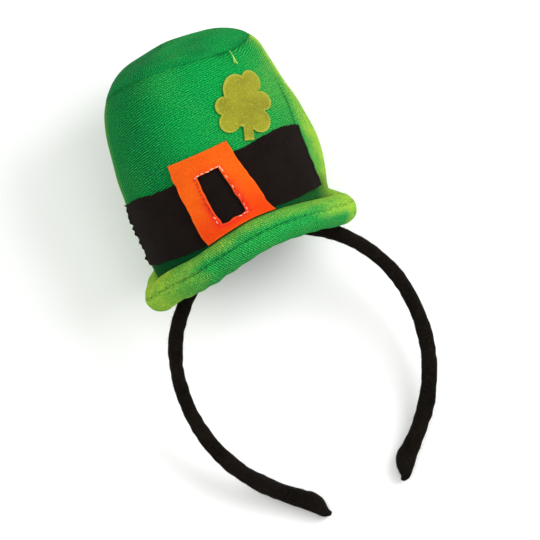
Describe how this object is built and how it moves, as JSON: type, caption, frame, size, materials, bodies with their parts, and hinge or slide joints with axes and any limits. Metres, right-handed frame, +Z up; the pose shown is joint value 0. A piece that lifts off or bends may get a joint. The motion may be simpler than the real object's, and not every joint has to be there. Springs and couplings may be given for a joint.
{
  "type": "miniature leprechaun hat on a headband",
  "caption": "Small stuffed green top hat with felt band, buckle and shamrock, sewn on a padded headband and lying on its back.",
  "frame": {"origin": "middle of the bounding box on the surface that the part lies on", "axes": "+Y from the headband tips to the top of the crown, +X to the right seen from the front of the hat, +Z up from the surface, towards the front of the hat"},
  "size_m": [0.1324, 0.2444, 0.1253],
  "materials": {
    "green_velour": "ribbed velour with a soft sheen, yellower at grazing angles",
    "black_felt": "matte pressed felt",
    "orange_felt": "matte pressed felt",
    "olive_felt": "matte pressed felt",
    "black_sleeve": "brushed knitted sleeve over a padded hoop"
  },
  "bodies": {
    "root": {"crown_side": "green_velour", "crown_top": "green_velour", "brim": "green_velour", "base": "black_felt", "hat_band": "black_felt", "buckle": "orange_felt", "shamrock": "olive_felt", "headband": "black_sleeve"}
  },
  "joints": []
}
